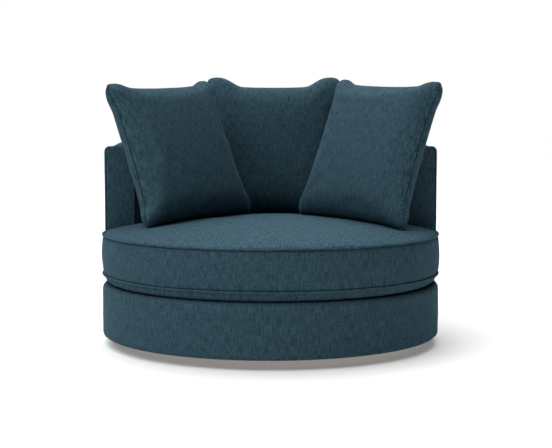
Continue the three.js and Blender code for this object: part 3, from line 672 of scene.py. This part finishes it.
class PillowNet:
    """Two panels of a pillow on one grid, sewn together round the rim."""

    def __init__(self, marks):
        u, v = np.meshgrid(marks, marks)
        inner = np.zeros(u.shape, bool)
        inner[1:-1, 1:-1] = True
        front = np.arange(u.size).reshape(u.shape)
        back = front.copy()
        back[inner] = u.size + np.arange(inner.sum())
        self.grids = (front, back)
        self.u = np.concatenate([u.ravel(), u[inner]])
        self.v = np.concatenate([v.ravel(), v[inner]])
        self.side = np.concatenate([-1.0 * inner.ravel(), np.ones(inner.sum())])
        front_faces, back_faces = (corners_of(grid).reshape(-1, 4) for grid in self.grids)
        self.faces = np.vstack([front_faces, back_faces[:, ::-1]])
        self.rim = np.concatenate(
            [front[0, :-1], front[:-1, -1], front[-1, :0:-1], front[:0:-1, 0]])
        edges = np.sort(np.vstack([self.faces[:, [i, (i + 1) % 4]] for i in range(4)]), axis=1)
        self.edges = np.unique(edges, axis=0)
        self.reach = np.maximum(np.abs(self.u), np.abs(self.v))

    def even_out(self, values, rounds):
        """Averages values with those of their neighbours, again and again."""
        a, b = self.edges.T
        count = np.bincount(self.edges.ravel(), minlength=len(self.u))[:, None]
        for _ in range(rounds):
            total = np.zeros_like(values)
            np.add.at(total, a, values[b])
            np.add.at(total, b, values[a])
            values = 0.5 * values + 0.5 * total / count
        return values

    def carry(self, values, finer):
        """Values at the points of an evenly spaced net, read off at those of a finer one."""
        steps = len(self.grids[0]) - 1
        place = (np.stack([finer.v, finer.u]) + 1) / 2 * steps
        low = np.minimum(place.astype(int), steps - 1)
        (up, across), (row, column) = (place - low)[..., None], low
        read = [values[grid] for grid in self.grids]
        read = [(1 - up) * ((1 - across) * g[row, column] + across * g[row, column + 1])
                + up * ((1 - across) * g[row + 1, column] + across * g[row + 1, column + 1])
                for g in read]
        return np.where(finer.side[:, None] > 0, read[1], read[0])

    def mesh(self, name, points, size):
        """The net as an object, with cloth coordinates in metres."""
        mesh = bpy.data.meshes.new(name)
        mesh.from_pydata(points.tolist(), [], self.faces.tolist())
        corners = self.faces.ravel()
        place = np.column_stack([self.u * size[0] / 2, self.v * size[1] / 2])[corners]
        place[len(corners) // 2:] += 1.7  # the rear is cut from another stretch of the cloth
        lay_cloth(mesh, place)
        mesh.shade_smooth()
        return link(name, mesh)


def volume_of(mesh):
    """Volume inside a closed mesh."""
    made = bmesh.new()
    made.from_mesh(mesh)
    volume = made.calc_volume()
    made.free()
    return abs(volume)


FILLING = {
    "quality": 5, "mass": 0.25, "air_damping": 3,
    "tension_stiffness": 25, "compression_stiffness": 25,
    "shear_stiffness": 6, "bending_stiffness": 1.5,
    "tension_damping": 10, "compression_damping": 10,
    "use_pressure": True, "uniform_pressure_force": 0.4,
    "use_pressure_volume": True, "pressure_factor": 1.0,
}


def press_out(piece, volume):
    """Fills a sewn cover: the cloth swells until it holds its volume."""
    cloth = piece.modifiers.new("Filling", "CLOTH")
    for name, value in FILLING.items():
        setattr(cloth.settings, name, value)
    cloth.settings.target_volume = volume
    cloth.settings.effector_weights.gravity = 0
    cloth.point_cache.frame_start = 1
    cloth.point_cache.frame_end = FILL_FRAMES


POSE = ("name", "yaw", "lean", "roll", "top_draw", "rear", "corner", "ear", "taper", "seed")
PILLOWS = [dict(zip(POSE, row)) for row in (
    ("back", 0.0, 9.0, 0.0, 1.72, 0.60, 0.072, 0.5, -0.03, 11.0),
    ("left", 46.0, 22.6, -2.2, 1.1, 1.05, 0.045, 0.36, 0.02, 23.0),
    ("right", -46.0, 21.5, 1.9, 1.1, 1.05, 0.045, 0.36, 0.02, 37.0),
)]


def pillow_turn(pose):
    """The way a pillow stands, as the frame has it."""
    return np.array((Matrix.Rotation(radians(pose["yaw"]), 3, "Z")
                     @ Matrix.Rotation(radians(-pose["lean"]), 3, "X")
                     @ Matrix.Rotation(radians(pose["roll"]), 3, "Y")))


def seat_level(points):
    """Height of the seat cushion's crown over each point."""
    upper = seat_seams(bpy.context.scene.chair_seat)[1]
    return domed(upper, np.clip(np.hypot(points[:, 0], points[:, 1]) / SEAT_RADIUS, 0, 1))


def cut_pillow(net, settings, pose, size):
    """Two flat panels, sewn round the edge and barely filled."""
    form = pillow_form(net, pose, size, settings)
    full = net.mesh(f"{pose['name']}_pillow", form, size)
    volume = volume_of(full.data)
    flat = pillow_cut(net.u, net.v, size, pose["corner"]) * settings.cut
    flat[:, 1] = LOOSE_FILL * form[:, 1]
    flat[:, 1] += PUCKER * np.abs(net.side) * ripple(form, 0.05, pose["seed"])
    full.data.vertices.foreach_set("co", flat.astype(np.float32).ravel())
    full.data.update()
    press_out(full, volume)
    return full


def fill_covers(scene, pieces):
    """Runs the filling of all pillows together and keeps the result."""
    for frame_number in range(1, FILL_FRAMES + 1):
        scene.frame_set(frame_number)
    for piece in pieces:
        apply_modifiers(piece)
    scene.frame_set(1)


def creases_of(net, fine, settings, piece, pose, size):
    """How the filled cloth departs from the intended form, at the fine net's points."""
    form = pillow_form(net, pose, size, settings)
    points = np.array([vertex.co for vertex in piece.data.vertices])
    bpy.data.objects.remove(piece)
    points -= (points.min(0) + points.max(0)) / 2
    points *= (form.max(0) - form.min(0)) / (points.max(0) - points.min(0))
    creases = points - form
    creases -= net.even_out(creases, 40)
    far = np.maximum(np.linalg.norm(creases, axis=1) / settings.give, 1)
    keep = settings.crease * (1 - 0.75 * net.reach ** 6) * (net.reach < 1)
    return net.carry((keep / far)[:, None] * creases, fine)


def place_pillow(context, creases, net, pose, size):
    """Makes a pillow of its form and creases, stands it on the seat and sews its piping."""
    settings = context.scene.chair_pillows
    form = pillow_form(net, pose, size, settings)
    points = form + creases
    pipe = context.scene.chair_cloth.piping * PILLOW_PIPING
    near = np.exp(-((1 - net.reach) * settings.width / 2 / PUCKER_WIDTH) ** 2)
    near *= net.reach < 1
    points[:, 1] += near * PUCKER * ripple(form * (1, 6, 1), 0.011, pose["seed"])
    plan = form * (1, 0, 1)
    plan /= np.maximum(np.linalg.norm(plan, axis=1), 0.01)[:, None]
    groove = 1.8 * pipe * np.exp(-(form[:, 1] / 0.0065) ** 2) * (net.reach > 0.9)
    points -= groove[:, None] * plan
    turn = pillow_turn(pose)
    body = f"{pose['name']}_pillow"
    low, high = box_of(f"{body}_cover")
    stood = form @ turn.T
    shift = (low + high) / 2 - (stood.min(0) + stood.max(0)) / 2
    stood = settle(net, points @ turn.T + shift)
    piece = net.mesh(body, stood, size)
    dress(piece, body, f"{body}_cover", f"{body}_filling")
    line = stood[net.rim] + 1.4 * pipe * plan[net.rim] @ turn.T
    cord(f"{body}_piping", body, respace(line, CORD_STEP, closed=True), pipe,
         closed=True, sides=8, reference=turn @ (0, 1, 0), flange=-0.9)


def settle(net, points):
    """Settles a pillow on the seat and against the shell, flat where it lies on them."""
    rim = net.rim[:np.argmax(net.v[net.rim] > -1)]
    edge = points[rim]
    gap = edge[:, 2] - seat_level(edge) - EDGE_ROOM
    drop = np.interp(net.u, net.u[rim], gap)
    points[:, 2] -= drop * np.clip(-net.v, 0, 1) ** 2
    points[:, 2] = np.maximum(points[:, 2], seat_level(points) + SEAT_TOUCH)
    wall = bpy.context.scene.chair_shell.wall
    above = np.maximum(points[:, 2] - SHELL_TOP - 0.002, 0)
    room = FULL_RADIUS - wall - SHELL_TOUCH + 1.5 * above
    behind = points[:, 1] > 0.05
    reach = np.where(behind, np.hypot(points[:, 0], points[:, 1]), 0)
    points[:, :2] *= np.minimum(room / np.maximum(reach, 1e-6), 1)[:, None]
    return points


class CHAIR_OT_pillows(Operator):
    """Fills the three loose pillows and sews piping round their edges"""
    bl_idname = "chair.fill_pillows"
    bl_label = "Fill the pillows"

    def execute(self, context):
        settings = context.scene.chair_pillows
        net = PillowNet(np.linspace(-1, 1, NET_POINTS))
        fine = PillowNet(np.sin(np.linspace(-1, 1, FINE_POINTS) * pi / 2))
        sizes = {"back": (settings.back_width, settings.back_height)}
        usual = (settings.width, settings.height)
        jobs = [(pose, sizes.get(pose["name"], usual)) for pose in PILLOWS]
        pieces = [cut_pillow(net, settings, *job) for job in jobs]
        fill_covers(context.scene, pieces)
        for piece, job in zip(pieces, jobs):
            creases = creases_of(net, fine, settings, piece, *job)
            place_pillow(context, creases, fine, *job)
        return {"FINISHED"}


# Finishes


def new_material(name, **inputs):
    """A new material with its shader, given these plain values, and its node tree."""
    material = bpy.data.materials.new(name)
    material.use_nodes = True
    shader = material.node_tree.nodes["Principled BSDF"]
    for title, value in inputs.items():
        shader.inputs[title.replace("_", " ")].default_value = value
    return material, shader, material.node_tree


def add(tree, kind, inputs, **options):
    """Adds a node, sets its options and fills or links its inputs."""
    node = tree.nodes.new("ShaderNode" + kind)
    node.location = (180 * (len(tree.nodes) % 12), -240 * (len(tree.nodes) // 12))
    for name, value in options.items():
        setattr(node, name, value)
    for key, value in inputs.items():
        if isinstance(value, bpy.types.NodeSocket):
            tree.links.new(value, node.inputs[key])
        else:
            node.inputs[key].default_value = value
    return node


def sums(tree, operation, *values):
    """One step of arithmetic on masks."""
    return add(tree, "Math", dict(enumerate(values)), operation=operation).outputs[0]


def blend_masks(tree, *parts):
    """Adds masks up, each by its share."""
    total = 0.0
    for mask, share in parts:
        total = sums(tree, "MULTIPLY_ADD", mask, share, total)
    return total


def fit(tree, value, low, high, to_low=0.0, to_high=1.0):
    """Stretches a value to a new range and holds it there."""
    return add(tree, "MapRange", {0: value, 1: low, 2: high, 3: to_low, 4: to_high}).outputs[0]


def paint(tree, shader, mask, dark, light, roughness, relief, strength=0.6):
    """Colours from dark to light by a mask, a roughness, and a relief in metres."""
    mix = add(tree, "Mix", {0: mask, 6: (*dark, 1), 7: (*light, 1)}, data_type="RGBA")
    bump = add(tree, "Bump", {"Height": relief, "Strength": strength, "Distance": 1.0})
    tree.links.new(mix.outputs[2], shader.inputs["Base Color"])
    tree.links.new(roughness, shader.inputs["Roughness"])
    tree.links.new(bump.outputs[0], shader.inputs["Normal"])


def shared(tree, name, build, place, **sizes):
    """The mask of a pattern, whose node group is made once and used by several finishes."""
    group = bpy.data.node_groups.get(name)
    if not group:
        group = bpy.data.node_groups.new(name, "ShaderNodeTree")
        group.interface.new_socket("Place", in_out="INPUT", socket_type="NodeSocketVector")
        for title in sizes:
            group.interface.new_socket(title, in_out="INPUT", socket_type="NodeSocketFloat")
        group.interface.new_socket("Mask", in_out="OUTPUT", socket_type="NodeSocketFloat")
        mask = build(group, group.nodes.new("NodeGroupInput").outputs)
        group.links.new(mask, group.nodes.new("NodeGroupOutput").inputs[0])
    return add(tree, "Group", {"Place": place, **sizes}, node_tree=group).outputs[0]


def streaks(tree, place, width, length):
    """Patches that are longer than wide, such as slubs, grain or brushing."""
    def build(tree, given):
        size = add(tree, "CombineXYZ", {0: given["Width"], 1: given["Length"], 2: given["Width"]})
        place = add(tree, "VectorMath", {0: given["Place"], 1: size.outputs[0]},
                    operation="DIVIDE")
        cloud = add(tree, "TexNoise", {"Vector": place.outputs[0], "Scale": 1.0, "Detail": 2.0})
        return fit(tree, cloud.outputs[0], 0.3, 0.7)
    return shared(tree, "Streaks", build, place, Width=width, Length=length)


def mottle(tree, place, size):
    """Soft blotches of a given size."""
    def build(tree, given):
        scale = sums(tree, "DIVIDE", 1.0, given["Size"])
        cloud = add(tree, "TexNoise", {"Vector": given["Place"], "Scale": scale, "Detail": 3.0})
        return fit(tree, cloud.outputs[0], 0.3, 0.7)
    return shared(tree, "Mottle", build, place, Size=size)


def plain_weave(tree, place, pitch):
    """Height of threads that pass over and under each other at a given pitch."""
    def build(tree, given):
        turn = sums(tree, "DIVIDE", pi, given["Pitch"])
        split = add(tree, "SeparateXYZ", {0: given["Place"]}).outputs
        warp, weft = (sums(tree, "SINE", sums(tree, "MULTIPLY", split[i], turn)) for i in (0, 1))
        over = sums(tree, "MULTIPLY_ADD", sums(tree, "MULTIPLY", warp, weft), 0.5, 0.5)
        upright, across = (sums(tree, "POWER", sums(tree, "ABSOLUTE", thread), 0.5)
                           for thread in (warp, weft))
        across = sums(tree, "MULTIPLY", across, sums(tree, "SUBTRACT", 1.0, over))
        return sums(tree, "MULTIPLY_ADD", upright, over, across)
    return shared(tree, "Plain weave", build, place, Pitch=pitch)


def cells(tree, place, per_metre):
    """Open cells, each lighter towards its rim."""
    return add(tree, "TexVoronoi", {"Vector": place, "Scale": per_metre}).outputs["Distance"]


def spangles(tree, place, per_metre):
    """Patches that each have a tone of their own."""
    tone = add(tree, "TexVoronoi", {"Vector": place, "Scale": per_metre}).outputs["Color"]
    return add(tree, "SeparateXYZ", {0: tone}).outputs[0]


def cloth_place(tree):
    """Metres of cloth across and along its upright threads."""
    return add(tree, "UVMap", {}, uv_map="cloth").outputs[0]


def solid_place(tree, grain="Y"):
    """Metres in the chair's own frame, with the grain's direction as the second axis."""
    place = add(tree, "TexCoord", {}).outputs["Object"]
    turns = {"X": (0, 0, pi / 2), "Y": (0, 0, 0), "Z": (-pi / 2, 0, 0)}
    return add(tree, "Mapping", {"Vector": place, "Rotation": turns[grain]}).outputs[0]


def woven_cloth():
    """Petrol cloth with a plain weave, painted shade between its threads and thick upright slubs.
    """
    settings = bpy.context.scene.chair_cloth
    colour, slub = np.array(settings.colour), settings.slub
    material, shader, tree = new_material(
        "Woven petrol cloth", Sheen_Weight=0.10, Sheen_Roughness=0.45,
        Sheen_Tint=(*np.minimum(colour * 6, 1), 1), Specular_IOR_Level=0.06)
    place = cloth_place(tree)
    warp = streaks(tree, place, 0.0042, 0.034)
    weft = streaks(tree, place, 0.024, 0.0036)
    grain = streaks(tree, place, 0.0038, 0.0048)
    blotch = mottle(tree, place, 0.045)
    weave = plain_weave(tree, place, settings.thread)
    # The weave's share in the colour is painted shade: darker in the gaps between the threads,
    # lighter on their tops.
    mask = blend_masks(tree, (warp, 0.32), (weft, 0.16), (grain, 0.38), (blotch, 0.06),
                       (weave, 0.08))
    mask = fit(tree, mask, 0.27, 0.73)
    spread = 1.1 * slub
    paint(tree, shader, mask, colour * (1 - spread), colour * (1 + spread),
          fit(tree, mask, 0.2, 0.8, 0.96, 0.84),
          blend_masks(tree, (warp, 0.0007 * slub), (weft, 0.0004 * slub),
                      (grain, 0.0004 * slub), (weave, 0.0003)))
    return material


def patterned(name, patterns, dark, light, roughness, by=0, grain="Y"):
    """A finish whose colour, roughness and relief come from the same patterns.

    Each pattern has its sizes, its share in the colour and its height in metres. The roughness
    follows the pattern that BY counts to. Without a grain, the finish lies on a cloth."""
    material, shader, tree = new_material(name)
    place = solid_place(tree, grain) if grain else cloth_place(tree)
    masks = [pattern(tree, place, *sizes) for pattern, sizes, share, height in patterns]
    shares, heights = ([(mask, part[column]) for mask, part in zip(masks, patterns)]
                       for column in (2, 3))
    paint(tree, shader, blend_masks(tree, *shares), dark, light,
          fit(tree, masks[by], 0, 1, *roughness), blend_masks(tree, *heights))
    return material


def wood(name, grain, ring, dark, light):
    """Bare wood: long grain, wider rings and a few darker pores."""
    return patterned(name, (
        (streaks, (0.0012, 0.09), 0.4, 0.0002),
        (streaks, (ring, 0.6), 0.45, 0),
        (streaks, (0.0006, 0.012), 0.15, 0.00015),
    ), dark, light, (0.5, 0.72), grain=grain)


def steel(name, per_metre, dark, light, rough, smooth):
    """Plated or oiled steel with spangles, fine scratches and duller patches."""
    material, shader, tree = new_material(name, Metallic=1.0)
    place = solid_place(tree)
    patch = spangles(tree, place, per_metre)
    scratch = streaks(tree, place, 0.0003, 0.015)
    dull = mottle(tree, place, 0.02)
    mask = blend_masks(tree, (patch, 0.35), (scratch, 0.25), (dull, 0.4))
    paint(tree, shader, mask, dark, light, fit(tree, mask, 0.1, 0.9, rough, smooth),
          blend_masks(tree, (scratch, 0.00003), (dull, 0.0001)), 0.4)
    return material


FINISHES = {
    "upholstery_cloth": woven_cloth,
    "deck_cloth": lambda: patterned(
        "Dark lining", ((plain_weave, (0.0011,), 0.6, 0.0002), (mottle, (0.03,), 0.4, 0.0004)),
        (0.006, 0.007, 0.008), (0.022, 0.024, 0.027), (0.82, 0.95), by=1),
    "foam": lambda: patterned(
        "Cut foam", ((cells, (900,), 0.7, 0.0006), (mottle, (0.05,), 0.4, 0)),
        (0.66, 0.56, 0.36), (0.86, 0.80, 0.64), (0.9, 1.0), by=1),
    "fibre_filling": lambda: patterned(
        "White fibre", ((streaks, (0.0006, 0.02), 0.6, 0.0004), (mottle, (0.03,), 0.4, 0.002)),
        (0.62, 0.62, 0.60), (0.90, 0.90, 0.88), (0.92, 1.0), grain="X"),
    "glide_felt": lambda: patterned(
        "Pressed felt",
        ((streaks, (0.0004, 0.004), 0.6, 0.0003), (mottle, (0.006,), 0.4, 0.0005)),
        (0.008, 0.008, 0.009), (0.045, 0.044, 0.042), (0.9, 1.0)),
    "board": lambda: wood("Bare board", "X", 0.03, (0.26, 0.15, 0.07), (0.55, 0.38, 0.20)),
    "timber": lambda: wood(
        "Planed softwood", "Z", 0.009, (0.42, 0.26, 0.12), (0.72, 0.53, 0.31)),
    "spring_steel": lambda: steel(
        "Oiled spring steel", 125, (0.018, 0.017, 0.016), (0.085, 0.08, 0.075), 0.5, 0.3),
    "zinc_steel": lambda: steel(
        "Zinc plate", 250, (0.40, 0.41, 0.42), (0.68, 0.69, 0.70), 0.46, 0.26),
    "zip_nylon": lambda: patterned(
        "Zip nylon", ((plain_weave, (0.0009,), 0.6, 0.0002), (mottle, (0.02,), 0.4, 0)),
        (0.010, 0.028, 0.040), (0.030, 0.070, 0.095), (0.6, 0.42), grain=None),
}


@cache
def finish(slot):
    """The finish of a material slot, made the first time that it is asked for."""
    return FINISHES[slot]()


class CHAIR_OT_frame(Operator):
    """Gives the boards, timbers, springs, race, screws and glides their finishes"""
    bl_idname = "chair.finish_frame"
    bl_label = "Finish the frame"

    def execute(self, context):
        for part in frame["record"]["subparts"]:
            for holder in frame["nodes"][part["node"]].material_slots:
                holder.material = finish(part["material_slot"])
        return {"FINISHED"}


# Stage


def white_backdrop(scene):
    """A white backdrop that is seen but lights nothing."""
    world = scene.world = bpy.data.worlds.new("Studio")
    world.use_nodes = True
    white = world.node_tree.nodes["Background"].inputs
    white["Color"].default_value = (1, 1, 1, 1)
    seen = add(world.node_tree, "LightPath", {}).outputs["Is Camera Ray"]
    world.node_tree.links.new(seen, white["Strength"])


def soft_light(name, place, width, strength):
    """A light far away in this direction, so many degrees wide that it casts soft shadows."""
    data = bpy.data.lights.new(name, "SUN")
    data.energy = strength
    data.angle = radians(width)
    link(name, data).rotation_euler = Vector(place).to_track_quat("Z", "Y").to_euler()


def aim_camera(scene):
    """The photograph's viewpoint: nearly level, a little above the pillows."""
    data = bpy.data.cameras.new("Camera")
    data.lens = 87.62
    data.sensor_width = 36
    looking_down = 5.01
    scene.camera = link("Camera", data)
    scene.camera.location = (0.020, -4.967, 0.867)
    scene.camera.rotation_euler = (radians(90 - looking_down), 0, 0)


class CHAIR_OT_stage(Operator):
    """Sets up the pale floor, the soft lights and the camera"""
    bl_idname = "chair.set_stage"
    bl_label = "Set the stage"

    def execute(self, context):
        settings = context.scene.chair_stage
        scene = context.scene
        scene.view_settings.view_transform = "Standard"
        far = 12
        floor_mesh = bpy.data.meshes.new("studio_floor")
        floor_mesh.from_pydata([(-far, -far, 0), (far, -far, 0), (far, far, 0), (-far, far, 0)],
                               [], [(0, 1, 2, 3)])
        floor_mesh.materials.append(new_material(
            "Studio floor", Roughness=0.9, Base_Color=(*settings.floor, 1),
            Emission_Color=(1, 1, 1, 1), Emission_Strength=settings.glow)[0])
        link("studio_floor", floor_mesh)
        white_backdrop(scene)
        soft_light("Key light", (-0.50, -0.35, 0.79), 50, settings.key)
        soft_light("Overhead light", (-0.10, -0.10, 0.99), 85, settings.overhead)
        soft_light("Back light", (-0.10, 0.45, 0.89), 60, settings.behind)
        aim_camera(scene)
        return {"FINISHED"}


class CHAIR_PT_panel(Panel):
    """Lists the chair's pieces in the sidebar"""
    bl_idname = "CHAIR_PT_panel"
    bl_label = "Cuddle Chair"
    bl_space_type = "VIEW_3D"
    bl_region_type = "UI"
    bl_category = "Cuddle Chair"

    def draw(self, context):
        for name, kind in SETTINGS.items():
            group = getattr(context.scene, name)
            column = self.layout.column(align=True)
            for field in kind.__annotations__:
                column.prop(group, field)
        for operator in OPERATORS:
            self.layout.operator(operator.bl_idname)


OPERATORS = (CHAIR_OT_frame, CHAIR_OT_drum, CHAIR_OT_shell, CHAIR_OT_seat, CHAIR_OT_pillows,
             CHAIR_OT_stage)
CLASSES = (*SETTINGS.values(), *OPERATORS, CHAIR_PT_panel)


def register():
    for cls in CLASSES:
        bpy.utils.register_class(cls)
    for name, kind in SETTINGS.items():
        setattr(bpy.types.Scene, name, bpy.props.PointerProperty(type=kind))


def unregister():
    for name in SETTINGS:
        delattr(bpy.types.Scene, name)
    for cls in reversed(CLASSES):
        bpy.utils.unregister_class(cls)


def main():
    register()
    bpy.ops.chair.finish_frame()
    bpy.ops.chair.cover_drum()
    bpy.ops.chair.cover_shell()
    bpy.ops.chair.sew_seat_cushion()
    bpy.ops.chair.fill_pillows()
    bpy.ops.chair.set_stage()


if __name__ == "__main__":
    main()
